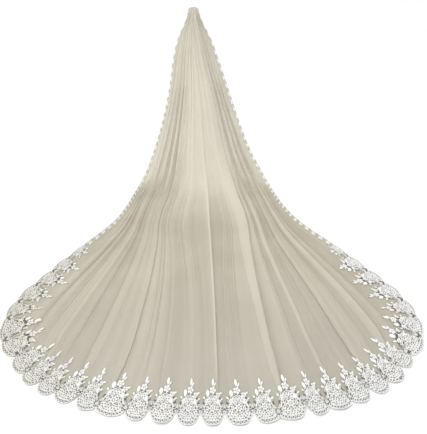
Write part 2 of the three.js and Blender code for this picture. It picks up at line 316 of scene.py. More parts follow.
def tuck_path(tuck):
    """TUCK_PATH as it stands, or mirrored for a tuck whose upper fold faces left."""
    if tuck["top"] > 0:
        return TUCK_PATH
    return [{**path, "room": -path["room"], "width": -path["width"]} for path in TUCK_PATH[::-1]]


def make_columns():
    """The sheet's columns: plain ones, those of the tucks and pleats, and the flat ones of the edgings."""
    plain = {"tuck": None, "pleat": None}
    columns = [{"place": side * (1 + k / 3), **plain} for side in (-1, 1) for k in range(4)]
    for place in np.linspace(-1, 1, 91)[1:-1]:
        if all(abs(place - fold["at"]) > fold["room"] + 0.004 for fold in TUCKS + PLEATS):
            columns.append({"place": place, **plain})
    for tuck in TUCKS:
        for step, path in enumerate(tuck_path(tuck)):
            order = tuck["at"] + (step / (len(TUCK_PATH) - 1) - 0.5) * 2 * tuck["room"] * 0.999
            columns.append({"place": order, "tuck": tuck, "pleat": None, "path": path})
    for pleat in PLEATS:
        for step in PLEAT_STEPS:
            place = pleat["at"] + step["across"] * pleat["room"]
            columns.append({"place": place, "tuck": None, "pleat": pleat, "path": step})
    return sorted(columns, key=lambda column: column["place"])


def pleat_opening(pleat, lengths):
    """How far a pleat stands up at each row, 0 to 1."""
    rising = smoothstep(lengths, pleat["start"], pleat["start"] + 0.7)
    return rising * (1 - smoothstep(lengths, pleat["end"] - 0.8, pleat["end"]))


def column_share(section, place, edging):
    """The share of the half-section at which a column's place crosses each row. Towards the hem, folds
    run on straight although the corners draw in."""
    inner = np.sign(place) * np.abs(np.clip(place, -1, 1)) ** section["crowd"]
    inner = inner + section["fan"] * inner * np.abs(inner) * (1 - np.abs(inner))
    return inner * (1 - edging) + np.sign(place) * edging * np.maximum(np.abs(place) - 1, 0)


def tuck_width(tuck, lengths):
    """How wide a tuck lies at each row: closed near the comb and under the lace, widest at the floor bend."""
    bend = SECTION_LENGTHS[11]
    above_lace = VEIL_LENGTH - WIDE_LACE
    opening = smoothstep(lengths, tuck["start"] * 0.4, bend)
    width = opening * tuck["fall"] + smoothstep(lengths, bend, above_lace) * (tuck["hem"] - tuck["fall"])
    return width * MM * (1 - 0.8 * smoothstep(lengths, above_lace - 0.1, VEIL_LENGTH))


def crease_height(place, lengths):
    """Soft ridges, and the close gathers that fan out from the comb."""
    height = np.zeros(np.broadcast(place, lengths).shape)
    for crease in CREASES:
        away = np.clip(np.abs(place - crease["at"]) / (crease["wide"] / 2), 0, 1)
        rising = smoothstep(lengths, crease["start"] - 0.15, crease["start"] + 0.35)
        falling = 1 - smoothstep(lengths, crease["end"] - 0.7, crease["end"])
        height += crease["high"] * MM * np.cos(away * np.pi / 2) ** 2 * rising * falling
    height = height * (1 - 0.45 * smoothstep(lengths, 0.6, 1.4))
    gathers = 0.5 + 0.5 * np.sin(place * 71 + 1.7 * np.sin(place * 13))
    depth = 1.6 * MM + 3.4 * MM * smoothstep(lengths, 0.02, 0.16)
    return height + gathers * depth * (1 - smoothstep(lengths, 0.15, 0.85)) * (np.abs(place) < 1)


def bright_gathers(place, lengths):
    """How closely the net is bunched, 0 to 1: it lies lightest and whitest where it is fullest."""
    middle = smoothstep(place, -0.19, -0.16) * (1 - smoothstep(place, 0.16, 0.30))
    fall = 1 - smoothstep(lengths, 1.35, 2.75)
    head = 1 - smoothstep(lengths, 0.0, 0.9)
    streaks = 0.5 + 0.5 * np.sin(place * 47 + 2.1 * np.sin(place * 17 + 0.6))
    fine = 0.5 + 0.5 * np.sin(place * 163 + 3 * np.sin(place * 29))
    fan = smoothstep(lengths, 1.2, 2.4) * (1 - 0.6 * smoothstep(lengths, 3.0, VEIL_LENGTH))
    side = 0.12 * fall
    middle = middle * (0.3 + 0.7 * smoothstep(lengths, 0.15, 0.8))
    bunched = side + 0.48 * middle * fall + 0.12 * head
    return bunched + (0.24 * streaks**2 + 0.14 * fine**3) * (0.35 + 0.65 * fan)


def rim_line():
    """The train's full outline in plan, from the left edge round the hem to the right edge."""
    sides = np.linspace(SECTION_LENGTHS[WIDE_LACE_ROW], VEIL_LENGTH, 200)
    left = surface(sections_at(sides), -1.0)
    right = surface(sections_at(sides), 1.0)[::-1]
    hem = surface(sections_at([VEIL_LENGTH]), np.linspace(-1, 1, 300)[1:-1])
    line = np.concatenate((left, hem, right))[:, :2]
    lengths = np.concatenate(([0], np.cumsum(np.linalg.norm(np.diff(line, axis=0), axis=1))))
    return line, lengths


RIM, RIM_LENGTHS = rim_line()


def rim_place(share, inward):
    """Plan positions a share of the way round the rim, moved in towards the middle of the train."""
    at = np.asarray(share) * RIM_LENGTHS[-1]
    near = [
        np.stack([np.interp(at + d, RIM_LENGTHS, RIM[:, i]) for i in (0, 1)], axis=-1)
        for d in (-0.02, 0, 0.02)
    ]
    along = unit(near[2] - near[0])
    side = np.stack([-along[..., 1], along[..., 0]], axis=-1)
    return near[1] + side * np.asarray(inward)[..., None]


def motif_ends():
    """Shares of the rim at which each motif of the wide lace ends: no two are quite as wide."""
    ends = [0.0]
    for stretch in STRETCHES:
        order = np.arange(stretch["motifs"])
        wide = 1 + 0.12 * np.sin(2.7 * order + 0.5) + 0.06 * np.sin(1.1 * order + 2)
        ends.extend(stretch["start"] + (stretch["end"] - stretch["start"]) * np.cumsum(wide) / wide.sum())
    return np.array(ends)


MOTIF_ENDS = motif_ends()
MOTIF_COUNT = len(MOTIF_ENDS) - 1


def motif_place(share):
    """Motifs of the wide lace counted from its left end to a place on the rim, whole and part."""
    return np.interp(share, MOTIF_ENDS, np.arange(MOTIF_COUNT + 1))


def motif_share(place):
    """The share of the rim at a place counted in motifs."""
    return np.interp(place, np.arange(MOTIF_COUNT + 1), MOTIF_ENDS)


def motif_growth(place):
    """How large the motifs are: they grow from something near the narrow lace's width at both ends."""
    from_end = np.minimum(place, MOTIF_COUNT - place)
    return FIRST_MOTIF + (1 - FIRST_MOTIF) * smoothstep(from_end, 0.0, GROWING_MOTIFS)


def notch_drop(place):
    """How much deeper the notches at a motif's ends lie than they are drawn, metres times its growth."""
    before, through = np.floor(place), place % 1
    first = STRETCHES[0]["motifs"]
    sides = (SIDE_NOTCHES,) * first
    depths = np.array(sides + HEM_NOTCHES + sides + (0, 0))
    drop = np.zeros(np.shape(place))
    for boundary, near in ((before, 1 - 2 * through), (before + 1, 2 * through - 1)):
        drop += depths[boundary.astype(int)] * np.clip((near - 0.25) / 0.75, 0, 1) ** 2.4
    return drop * MM


def tulle_margin(share):
    """How far inside the full outline the tulle itself ends, covered by the lace there."""
    place = motif_place(share)
    notch = np.interp(place, *zip(*NOTCH_DEPTHS))
    return (notch + RIM_INSET + 12 * MM + notch_drop(place)) * motif_growth(place)


def near_rim(points):
    """For each point of the train: the rim point nearest to it and its distance in from there."""
    tree = KDTree(len(RIM))
    for i, (x, y) in enumerate(RIM):
        tree.insert((x, y, 0), i)
    tree.balance()
    for i in np.flatnonzero((points[:, 1] < RIM[0, 1]) & (points[:, 2] < FLOOR + 0.08)):
        _, nearest, _ = tree.find((points[i, 0], points[i, 1], 0))
        yield i, nearest, float((points[i, :2] - RIM[nearest]) @ RIM_INWARD[nearest])


def finish_hem(points, drawn_in):
    """Ripples the train's edge, a swell under each motif, and draws the tulle in from the rim."""
    flat = points.reshape(-1, 3)
    moved = flat.copy()
    for i, nearest, inside in near_rim(flat):
        share = RIM_LENGTHS[nearest] / RIM_LENGTHS[-1]
        place = float(motif_place(share))
        high = 6 + 3 * math.sin(2.4 * math.floor(place)) + 2 * math.sin(0.9 * math.floor(place) + 1)
        swell = (0.5 - 0.5 * math.cos(2 * math.pi * place)) * high * MM
        moved[i, 2] += swell * (1 - smoothstep(inside, 0.0, 0.30))
        if drawn_in and inside < DRAWN_FROM:
            margin = float(RIM_MARGIN[nearest])
            step = margin * (1 - max(inside, 0) / DRAWN_FROM)
            moved[i, :2] += RIM_INWARD[nearest] * step
    return moved.reshape(points.shape)


NOTCH_DEPTHS = [(0, 30 * MM), (6.5, 30 * MM), (7.5, 42 * MM), (25.5, 42 * MM), (26.5, 30 * MM), (33, 30 * MM)]
DRAWN_FROM = 0.30
RIM_INWARD = (rim_place(RIM_LENGTHS / RIM_LENGTHS[-1], np.ones(len(RIM))) - RIM)
RIM_MARGIN = tulle_margin(RIM_LENGTHS / RIM_LENGTHS[-1])


def sheet_grid(drawn_in):
    """The sheet as rows and columns of points, with how densely the net lies at each and the painted
    highlight and painted shade of its folds. drawn_in: ends under the lace instead of at the full outline."""
    columns = make_columns()
    place = np.array([column["place"] for column in columns])[None, :]
    lengths = row_lengths()[:, None]
    section = sections_at(lengths)
    edge_speed = metres_per_share(section, 1.0)
    edging = np.minimum(NARROW_LACE / edge_speed, EDGING_LIMIT)
    share = column_share(section, place, edging)
    layer = np.zeros(share.shape)
    folded = np.zeros(share.shape)
    # tone: painted highlight (above 0) on fold crests and painted shade (below 0) in the hollows beside them
    tone = np.zeros(share.shape)
    pleated = np.zeros(share.shape)
    for i, column in enumerate(columns):
        tuck, pleat = column["tuck"], column["pleat"]
        if pleat:
            path = column["path"]
            opened = pleat_opening(pleat, lengths)
            foot = pleat["room"] * metres_per_share(section, share[:, i : i + 1])
            high = pleat["high"] * MM * np.minimum(foot / (10 * MM), 1)
            pleated[:, i : i + 1] = path["rise"] * high * opened
            tone[:, i : i + 1] = path["tone"] * opened
        if not tuck:
            continue
        path = column["path"]
        sides = [column_share(section, tuck["at"] + side * tuck["room"], edging) for side in (-1, 1)]
        middle = (sides[0] + sides[1]) / 2
        room = (sides[1] - sides[0]) / 2
        width = tuck_width(tuck, lengths) / metres_per_share(section, middle)
        width = np.minimum(width, TUCK_LIMIT * room)
        share[:, i : i + 1] = middle + path["room"] * room + path["width"] * width
        opened = np.minimum(tuck_width(tuck, lengths) / (12 * MM), 1)
        layer[:, i : i + 1] = path["layer"] * opened
        folded[:, i : i + 1] = opened * (abs(path["width"]) <= 0.5 and path["room"] == 0)
        tone[:, i : i + 1] = path["tone"] * opened
    points = surface(section, share)
    normals = outward_normals(lengths, share)
    level = np.where(np.abs(place) > 1, np.sign(place), place)
    lift = crease_height(level, lengths) + pleated + layer * LAYER_GAP + REST_LIFT
    points = points + normals * lift[..., None]
    points[..., 2] = np.maximum(points[..., 2], FLOOR + REST_LIFT)
    points = finish_hem(points, drawn_in)
    folded *= 0.26 - 0.18 * (1 - smoothstep(lengths, 1.6, 2.8))
    fullness_and_painted_light = PLAIN_TONE + (1 - PLAIN_TONE) * (bright_gathers(level, lengths) + folded)
    lying = 0.35 + 0.65 * smoothstep(lengths, 1.2, 2.3)
    # painted highlight on the crests of tucks and pleats and painted shade in the hollows beside them,
    # strongest where the train lies on the floor
    fullness_and_painted_light += (0.17 * np.maximum(tone, 0) + 0.07 * np.minimum(tone, 0)) * lying
    return points, np.clip(fullness_and_painted_light, 0, 1)


def grid_faces(rows, columns):
    """Faces of a sheet of points, each seen from the side that faces away from the wearer."""
    corner = np.arange(rows * columns).reshape(rows, columns)
    quads = np.stack([corner[:-1, :-1], corner[1:, :-1], corner[1:, 1:], corner[:-1, 1:]], axis=-1)
    return quads.reshape(-1, 4)


def add_object(name, data):
    """A new object that shows this mesh, lamp or camera."""
    holder = bpy.data.objects.new(name, data)
    bpy.context.scene.collection.objects.link(holder)
    return holder


def new_piece(name, points, faces, *materials):
    """A smooth-shaded mesh in the part's own frame that rides on its one body."""
    mesh = bpy.data.meshes.new(name)
    mesh.from_pydata(np.asarray(points).tolist(), [], [list(map(int, face)) for face in faces])
    mesh.shade_smooth()
    piece = add_object(name, mesh)
    for material in materials:
        mesh.materials.append(material)
    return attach(piece, "root")


def thicken(piece, thickness):
    """Gives a sheet its two sides and closes it round the edge."""
    shell = piece.modifiers.new("thickness", "SOLIDIFY")
    shell.thickness = thickness
    shell.offset = 0
    bpy.context.view_layer.objects.active = piece
    bpy.context.view_layer.update()
    with bpy.context.temp_override(object=piece, active_object=piece):
        bpy.ops.object.modifier_apply(modifier=shell.name)


def under_curve(values, at):
    """The area under a curve of values read at these places, by straight steps."""
    return ((values[..., 1:] + values[..., :-1]) / 2 * np.diff(at)).sum(axis=-1)


def tulle_cut():
    """Width, length and area that the tulle is cut to, from the sections and tucks and not from the mesh:
    at each length the smooth width, and twice each tuck's width for its two extra layers."""
    lengths = np.linspace(0, VEIL_LENGTH, 300)
    shares = np.linspace(-1, 1, 81)
    smooth = under_curve(metres_per_share(sections_at(lengths[:, None]), shares[None, :]), shares)
    widths = smooth + 2 * sum(tuck_width(tuck, lengths) for tuck in TUCKS)
    return float(widths.max()), float(VEIL_LENGTH), float(under_curve(widths, lengths))


def make_tulle(material):
    points, fullness_and_painted_light = sheet_grid(True)
    rows, columns = fullness_and_painted_light.shape
    piece = new_piece("tulle_veil", points.reshape(-1, 3), grid_faces(rows, columns), material)
    # the "gathered" attribute holds how fully the net is bunched, together with painted highlight on fold
    # crests and painted shade in the hollows beside them
    gathered = piece.data.attributes.new("gathered", "FLOAT", "POINT")
    gathered.data.foreach_set("value", fullness_and_painted_light.ravel().astype(np.float32))
    thicken(piece, TULLE_THICK)
    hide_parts("tulle_panel")
    width, length, area = tulle_cut()
    return piece


# ------------------------------------------------------------------ corded lace
def unit_circle(sides):
    turns = np.arange(sides) * 2 * np.pi / sides
    return np.stack([np.cos(turns), np.sin(turns)], axis=-1)


class Needlework:
    """Stitching worked flat, in millimetres: x along the rim, y inward from it, z up from the net."""

    def __init__(self):
        self.points = []
        self.faces = []

    def add(self, points, faces):
        base = len(self.points)
        self.points.extend(tuple(point) for point in points)
        self.faces.extend(tuple(base + corner for corner in face) for face in faces)

    def cord(self, line, width, high, closed=False):
        """A raised cord, three-sided in section, that tapers to nothing only if its line does."""
        line = np.asarray(line, float)
        count = len(line)
        if closed:
            along = unit(np.roll(line, -1, axis=0) - np.roll(line, 1, axis=0))
        else:
            along = unit(np.gradient(line, axis=0))
        side = np.stack([-along[:, 1], along[:, 0]], axis=-1) * width / 2
        points = []
        for at, out in zip(line, side):
            points += [(*(at + out), 0), (*at, high), (*(at - out), 0)]
        faces = []
        for i in range(count if closed else count - 1):
            here, ahead = 3 * i, 3 * ((i + 1) % count)
            for j in range(3):
                k = (j + 1) % 3
                faces.append((here + j, here + k, ahead + k, ahead + j))
        if not closed:
            faces += [(0, 1, 2), (3 * count - 1, 3 * count - 2, 3 * count - 3)]
        self.add(points, faces)

    def ring(self, middle, radius, width, high, sides=8):
        self.cord(unit_circle(sides) * radius + middle, width, high, closed=True)

    def petal(self, foot, tip, width, high):
        """A satin-stitched leaf or petal, raised along its edge and hollow down the middle."""
        foot, tip = np.array(foot, float), np.array(tip, float)
        along = tip - foot
        side = np.array([-along[1], along[0]]) / np.linalg.norm(along) * width / 2
        upper = [(0.25, 0.72), (0.58, 1), (0.85, 0.6)]
        outline = [(0, 0), *upper, (1, 0), *[(t, -s) for t, s in upper[::-1]]]
        edge = np.array([foot + along * t + side * s for t, s in outline])
        middle = foot + along * 0.52
        crest = middle + (edge - middle) * 0.66
        points = [(*p, 0) for p in edge] + [(*p, high) for p in crest] + [(*middle, high * 0.45)]
        faces = [tuple(range(8))[::-1]]
        for i in range(8):
            j = (i + 1) % 8
            faces += [(i, j, 8 + j, 8 + i), (8 + i, 8 + j, 16)]
        self.add(points, faces)

    def dome(self, middle, radius, high, sides=7):
        circle = unit_circle(sides)
        points = [(*p, 0) for p in circle * radius + middle]
        points += [(*p, high * 0.8) for p in circle * radius * 0.62 + middle] + [(*middle, high)]
        faces = [tuple(range(sides))[::-1]]
        for i in range(sides):
            j = (i + 1) % sides
            faces += [(i, j, sides + j, sides + i), (sides + i, sides + j, 2 * sides)]
        self.add(points, faces)

    def flower(self, middle, radius, petals, turn=0.0, high=1.6):
        middle = np.array(middle, float)
        for i in range(petals):
            angle = turn + i * 2 * math.pi / petals
            reach = np.array([math.sin(angle), math.cos(angle)])
            self.petal(middle + reach * radius * 0.22, middle + reach * radius, radius * 4.1 / petals, high)
        self.dome(middle, radius * 0.26, high * 1.3)


MOTIF_WIDTH = 140.0  # mm, one motif of the wide lace as it is drawn here
MOTIF_HEIGHT = 240.0  # mm, from its scallop to the tip of its spire
BODY_TOP = 98.0  # from the widest place of a motif's rounded body up to its top
NET_SHOULDER = 152.0  # the net's inner edge at the middle of a motif
NET_VALLEY = 74.0  # and between two motifs


def egg(inset, notch, angles):
    """The motif's rounded body, moved inwards: the scallop below its widest place, an arch above it."""
    angles = np.asarray(angles)
    across = (MOTIF_WIDTH / 2 - inset) * np.sin(angles)
    rise = np.where(np.cos(angles) > 0, notch - inset, BODY_TOP + 10 - 0.5 * inset)
    return np.stack([across, notch + RIM_INSET / MM - rise * np.cos(angles)], axis=-1)


def in_egg(points, inset, notch):
    away = points - np.array([0, notch + RIM_INSET / MM])
    rise = np.where(away[:, 1] < 0, notch - inset, BODY_TOP + 10 - 0.5 * inset)
    return (away[:, 0] / (MOTIF_WIDTH / 2 - inset)) ** 2 + (away[:, 1] / rise) ** 2 < 1


def ring_ground(work, notch, spacing, inset):
    """Small corded rings, packed close, that fill the body round its medallion."""
    for row in range(-8, 12):
        for k in range(-6, 7):
            stray = np.array([math.sin(5.1 * row + 2.3 * k), math.cos(3.7 * row - 4.1 * k)]) * 0.9
            middle = np.array([(k + 0.5 * (row % 2)) * spacing, MEDALLION[1] + row * spacing * 0.87]) + stray
            clear = np.linalg.norm(middle - MEDALLION) > MEDALLION_RADIUS + 3
            if clear and in_egg(middle[None, :], inset, notch)[0]:
                work.ring(middle, spacing * 0.40, spacing * 0.40, 2.6, sides=8)


MEDALLION = np.array([0.0, 82.0])
MEDALLION_RADIUS = 25.0


def motif_body(work, notch):
    """The rounded body: corded rim and arch, eyelets between them, and a flower in a ground of rings."""
    right = math.pi / 2
    whole = np.linspace(-math.pi, math.pi, 33)[:-1]
    work.cord(egg(2.2, notch, np.linspace(-right * 0.97, right * 0.97, 25)), 4.2, 2.8)
    work.cord(egg(21, notch, whole), 5.0, 3.0, closed=True)
    for middle in egg(11.5, notch, np.linspace(-right * 0.93, right * 0.93, 10)):
        work.ring(middle, 6.6, 5.0, 2.6, sides=8)
    for side in (-1, 1):
        for middle in egg(12, notch, side * np.array([1.2, 1.42, 1.64]) * right):
            work.ring(middle, 6.0, 4.6, 2.4, sides=7)
    ring_ground(work, notch, 14.5, 24)
    work.ring(MEDALLION, MEDALLION_RADIUS, 5.0, 2.8, sides=18)
    work.flower(MEDALLION, MEDALLION_RADIUS - 3, 7, 0.2, 3.0)


def motif_valley(work):
    """The cords that swing across from one motif to the next, with a small flower where they meet."""
    edge = MOTIF_WIDTH / 2
    for side in (-1, 1):
        work.cord([(side * edge, 56), (side * 60, 59), (side * 50, 68)], 3.8, 1.8)
        work.cord([(side * edge, 70), (side * 60, 73), (side * 48, 86), (side * 46, 98)], 3.8, 1.8)
        work.cord([(side * edge, 77), (side * 62, 80), (side * 54, 92)], 2.6, 1.3)
    work.flower((-edge, 63), 9, 6, 0.2)


def motif_crest(work):
    """What stands above the body: flowers and leaves, a round bud to the left, and a blunt spire."""
    work.flower((-35, 116), 13, 5, 0.9)
    work.flower((36, 114), 13, 5, 0.1)
    work.petal((-44, 122), (-58, 138), 13, 1.9)
    work.petal((46, 118), (64, 124), 13, 1.9)
    work.cord([(-12, 152), (-22, 146), (-30, 138)], 3.4, 1.6)
    work.petal((-29, 136), (-33, 176), 24, 2.4)
    work.flower((33, 146), 15, 5, 0.5, 1.9)
    work.petal((38, 150), (60, 160), 12, 1.9)
    work.cord([(0, 142), (0, 152), (0, 190)], 4.5, 1.8)
    work.flower((0, 170), 21, 5, 0.35, 2.4)
    work.petal((0, 188), (0, 236), 18, 2.7)
    work.petal((5, 186), (19, 214), 11, 2.0)


def wide_motif(notch):
    """One motif of the wide lace, for scallops this deep."""
    work = Needlework()
    motif_body(work, notch)
    motif_valley(work)
    motif_crest(work)
    return work


EDGING_PITCH = 83.0  # mm, one repeat of the narrow lace as it is drawn


def narrow_motif():
    """One repeat of the narrow lace: a rim cord, a waved cord and a forked sprig that points inward."""
    work = Needlework()
    half = EDGING_PITCH / 2
    along = np.linspace(-half, half, 13)
    wave = 0.5 - 0.5 * np.cos(along / half * math.pi)
    work.cord(np.stack([along, 2.2 + 0 * along], axis=-1), 3.2, 1.9)
    work.cord(np.stack([along, 10 + 8 * wave], axis=-1), 2.2, 1.3)
    for x in (-33, -20, -7, 7, 20, 33):
        work.ring((x, 6), 3.0, 1.5, 1.0, sides=6)
    work.flower((0, 22), 15, 5, 0.2, 2.1)
    work.petal((-4, 30), (-24, 52), 14, 2.3)
    work.petal((4, 30), (16, 58), 14, 2.3)
    work.petal((0, 32), (-4, 54), 9, 1.9)
    work.petal((-12, 18), (-29, 24), 10, 1.8)
    work.petal((12, 18), (30, 22), 10, 1.8)
    return work


class ClothTop:
    """The upper side of the tulle as it lies, wherever lace is to be laid on it."""

    def __init__(self):
        self.trees = []
        for drawn_in in (False, True):
            points, _ = sheet_grid(drawn_in)
            faces = grid_faces(*points.shape[:2]).tolist()
            self.trees.append(BVHTree.FromPolygons(points.reshape(-1, 3).tolist(), faces))

    def height(self, plan):
        """Heights of the cloth under these plan positions, the floor where there is none."""
        heights = np.full(len(plan), FLOOR + REST_LIFT)
        down = Vector((0, 0, -1))
        for i, (x, y) in enumerate(plan):
            for tree in self.trees:
                place, _, _, _ = tree.ray_cast(Vector((x, y, FLOOR + 0.5)), down)
                if place:
                    heights[i] = max(heights[i], place.z)
        return heights


def motifs_before(stretch):
    return sum(s["motifs"] for s in STRETCHES[: STRETCHES.index(stretch)])


def lay_wide_lace(stretch, cloth):
    """The stitching of one stretch, motif by motif along the rim, resting on the cloth."""
    motif = wide_motif(stretch["notch"] / MM)
    flat = np.array(motif.points)
    points, faces = [], []
    first = motifs_before(stretch)
    for order in range(first, first + stretch["motifs"]):
        sway = 3.0 * math.sin(2.1 * order) * np.clip((flat[:, 1] - 110) / 120, 0, 1) ** 2
        stretch_up = 1 + 0.035 * math.sin(1.3 * order + 0.7)
        through = order + 0.5 + flat[:, 0] / MOTIF_WIDTH
        growth = motif_growth(through)
        inward = np.where(flat[:, 1] > 110, 110 + (flat[:, 1] - 110) * stretch_up, flat[:, 1])
        inward = inward + notch_drop(through) / MM * (1 - smoothstep(flat[:, 1], 60.0, 170.0))
        inward = inward * growth * WIDE_LACE / MOTIF_HEIGHT
        share = motif_share(through + sway / MOTIF_WIDTH)
        plan = rim_place(share, inward)
        height = cloth.height(plan) + LACE_LIFT + flat[:, 2] * MM * (0.6 + 0.4 * growth)
        faces += [tuple(len(points) + corner for corner in face) for face in motif.faces]
        points += np.column_stack([plan, height]).tolist()
    return points, faces


def net_edges(stretch, motifs):
    """The net's outer and inner edges at places counted in motifs, in metres in from the rim: the
    scallops, and a line that rises over each motif."""
    before = motifs_before(stretch)
    aside = 2 * (motifs % 1) - 1
    aside[-1] = 1
    motifs = np.minimum(motifs, stretch["motifs"] - 1e-6)
    growth = motif_growth(before + motifs)
    outer = (stretch["notch"] * (1 - np.sqrt(np.maximum(1 - aside**2, 0))) + RIM_INSET) * growth
    body = NET_VALLEY + (NET_SHOULDER - NET_VALLEY) * np.sqrt(np.maximum(1 - (aside / 0.86) ** 2, 0)) ** 0.9
    drop = notch_drop(before + motifs) * growth
    return outer + drop, body * MM * growth + drop * 0.85


def wide_net_cut(stretch):
    """Length, depth and area of a stretch's net as it is drawn flat, before it is eased round the rim."""
    motifs = np.linspace(0, stretch["motifs"], stretch["motifs"] * 200 + 1)
    along = motif_share(motifs_before(stretch) + motifs) * RIM_LENGTHS[-1]
    outer, inner = net_edges(stretch, motifs)
    length, area = along[-1] - along[0], under_curve(inner - outer, along)
    return float(length), NET_SHOULDER * MM - RIM_INSET, float(area)


def wide_net(stretch, cloth):
    """The lace's net ground as it lies on the cloth."""
    total = stretch["motifs"] * NET_STEPS + 1
    motifs = np.linspace(0, stretch["motifs"], total)
    share = motif_share(motifs_before(stretch) + motifs)
    outer, inner = net_edges(stretch, motifs)
    t = np.linspace(0, 1, NET_DEEP)[:, None]
    plan = rim_place(np.broadcast_to(share, (NET_DEEP, total)), outer + (inner - outer) * t)
    flat = plan.reshape(-1, 2)
    height = cloth.height(flat) + LACE_LIFT - NET_THICK
    return np.column_stack([flat, height]), grid_faces(NET_DEEP, total)


def edging_places(side, lengths, inward, high):
    """Positions on the narrow lace at these lengths along the veil, this far in and this high, in metres."""
    section = sections_at(lengths)
    speed = metres_per_share(section, 1.0)
    inward = inward * np.minimum(1, EDGING_LIMIT * speed / NARROW_LACE)
    share = side * (1 - inward / speed)
    places = surface(section, share)
    normals = outward_normals(lengths, share)
    places = places + normals * (REST_LIFT + LACE_LIFT + high)[..., None]
    places[..., 2] = np.maximum(places[..., 2], FLOOR + REST_LIFT + LACE_LIFT + high)
    return places


def edge_run(side):
    """Metres along a side edge for each length along the veil's middle."""
    lengths = np.linspace(SECTION_LENGTHS[EDGING_ROW], SECTION_LENGTHS[WIDE_LACE_ROW], 400)
    line = surface(sections_at(lengths), float(side))
    run = np.concatenate(([0], np.cumsum(np.linalg.norm(np.diff(line, axis=0), axis=1))))
    return lengths, run


def lay_narrow_lace(side):
    motif = narrow_motif()
    flat = np.array(motif.points)
    lengths, run = edge_run(side)
    count = round(run[-1] / (EDGING_PITCH * MM))
    pitch = run[-1] / count
    points, faces = [], []
    for order in range(count):
        size = 1 + 0.10 * math.sin(1.9 * order) + 0.08 * math.sin(4.3 * order + 1)
        along = (order + 0.5 - side * flat[:, 0] / EDGING_PITCH) * pitch
        at = np.interp(np.clip(along, 0, run[-1]), run, lengths)
        inward = np.where(flat[:, 1] > 24, 24 + (flat[:, 1] - 24) * size, flat[:, 1]) * MM
        faces += [tuple(len(points) + corner for corner in face) for face in motif.faces]
        points += edging_places(side, at, inward, flat[:, 2] * MM).tolist()
    return points, faces


def narrow_net(side):
    lengths, run = edge_run(side)
    size = (EDGING_STEPS, EDGING_DEEP)
    at = np.interp(np.linspace(0, run[-1], EDGING_STEPS), run, lengths)[:, None]
    inward = np.broadcast_to(np.linspace(0, NARROW_LACE, EDGING_DEEP)[None, :], size)
    places = edging_places(side, at, inward, np.full(size, -NET_THICK))
    return places.reshape(-1, 3), grid_faces(*size)


def narrow_net_cut(side):
    """Length, depth and area of one edging: a plain strip, cut to the edge that it is sewn along."""
    length = float(edge_run(side)[1][-1])
    return length, NARROW_LACE, length * NARROW_LACE


def tidy_normals(piece):
    """Turns every face of closed stitching outward."""
    work = bmesh.new()
    work.from_mesh(piece.data)
    bmesh.ops.recalc_face_normals(work, faces=work.faces)
    work.to_mesh(piece.data)
    work.free()


def make_lace(node, cut, net, stitching, net_finish, thread_finish):
    """One length of lace: its net ground and the stitching on it."""
    ground = new_piece(node + "_net", *net, net_finish)
    thicken(ground, NET_THICK)
    thread = new_piece(node + "_stitching", *stitching, thread_finish)
    tidy_normals(thread)
    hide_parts(node)
    return ground, thread


def make_all_lace(wide_finish, narrow_finish, thread_finish):
    cloth = ClothTop()
    for stretch in STRETCHES:
        net, stitching = wide_net(stretch, cloth), lay_wide_lace(stretch, cloth)
        make_lace(stretch["node"], wide_net_cut(stretch), net, stitching, wide_finish, thread_finish)
    for side, node in ((-1, "edging_left"), (1, "edging_right")):
        net, stitching = narrow_net(side), lay_narrow_lace(side)
        make_lace(node, narrow_net_cut(side), net, stitching, narrow_finish, thread_finish)


# ------------------------------------------------------------------ the comb's bar and its ribbon
def crown_point(turn, y, high):
    """A point this high over the comb's bar, which follows the crown of the head."""
    return (CROWN + high) * math.sin(turn), y, (CROWN + high) * math.cos(turn) - CROWN


def band_profile(along):
    """The ribbon's section at a place along the bar: drawn up in soft ruches between its stitches."""
    ruche = 0.5 + 0.5 * math.cos(along * 2 * math.pi * RUCHES)
    loop = []
    for k in range(BAND_SIDES):
        round_ = 2 * math.pi * k / BAND_SIDES
        wide = math.copysign(abs(math.cos(round_)) ** 0.6, math.cos(round_))
        thick = math.copysign(abs(math.sin(round_)) ** 0.8, math.sin(round_))
        high = BAND_FOOT + BAND_THICK * (0.5 + 0.5 * thick * (1 if thick < 0 else 0.72 + 0.28 * ruche))
        loop.append((BAND_MIDDLE + BAND_HALF * wide * (0.93 + 0.07 * ruche), high))
    return loop


def make_binding(material):
    """The satin ribbon that holds the gathered tulle down on the comb's bar."""
    count = RUCHES * 12 + 1
    points = []
    for i in range(count):
        along = i / (count - 1)
        turn = BAR_TURN * 0.995 * (2 * along - 1)
        points += [crown_point(turn, y, high) for y, high in band_profile(along)]
    end = BAND_SIDES * count
    faces = [tuple(range(BAND_SIDES)), tuple(range(end - BAND_SIDES, end))[::-1]]
    for here in range(0, end - BAND_SIDES, BAND_SIDES):
        ahead = here + BAND_SIDES
        for k in range(BAND_SIDES):
            after = (k + 1) % BAND_SIDES
            faces.append((here + k, here + after, ahead + after, ahead + k))
    band = new_piece("binding_ribbon", points, faces, material)
    tidy_normals(band)
    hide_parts("gather_binding")
    return band


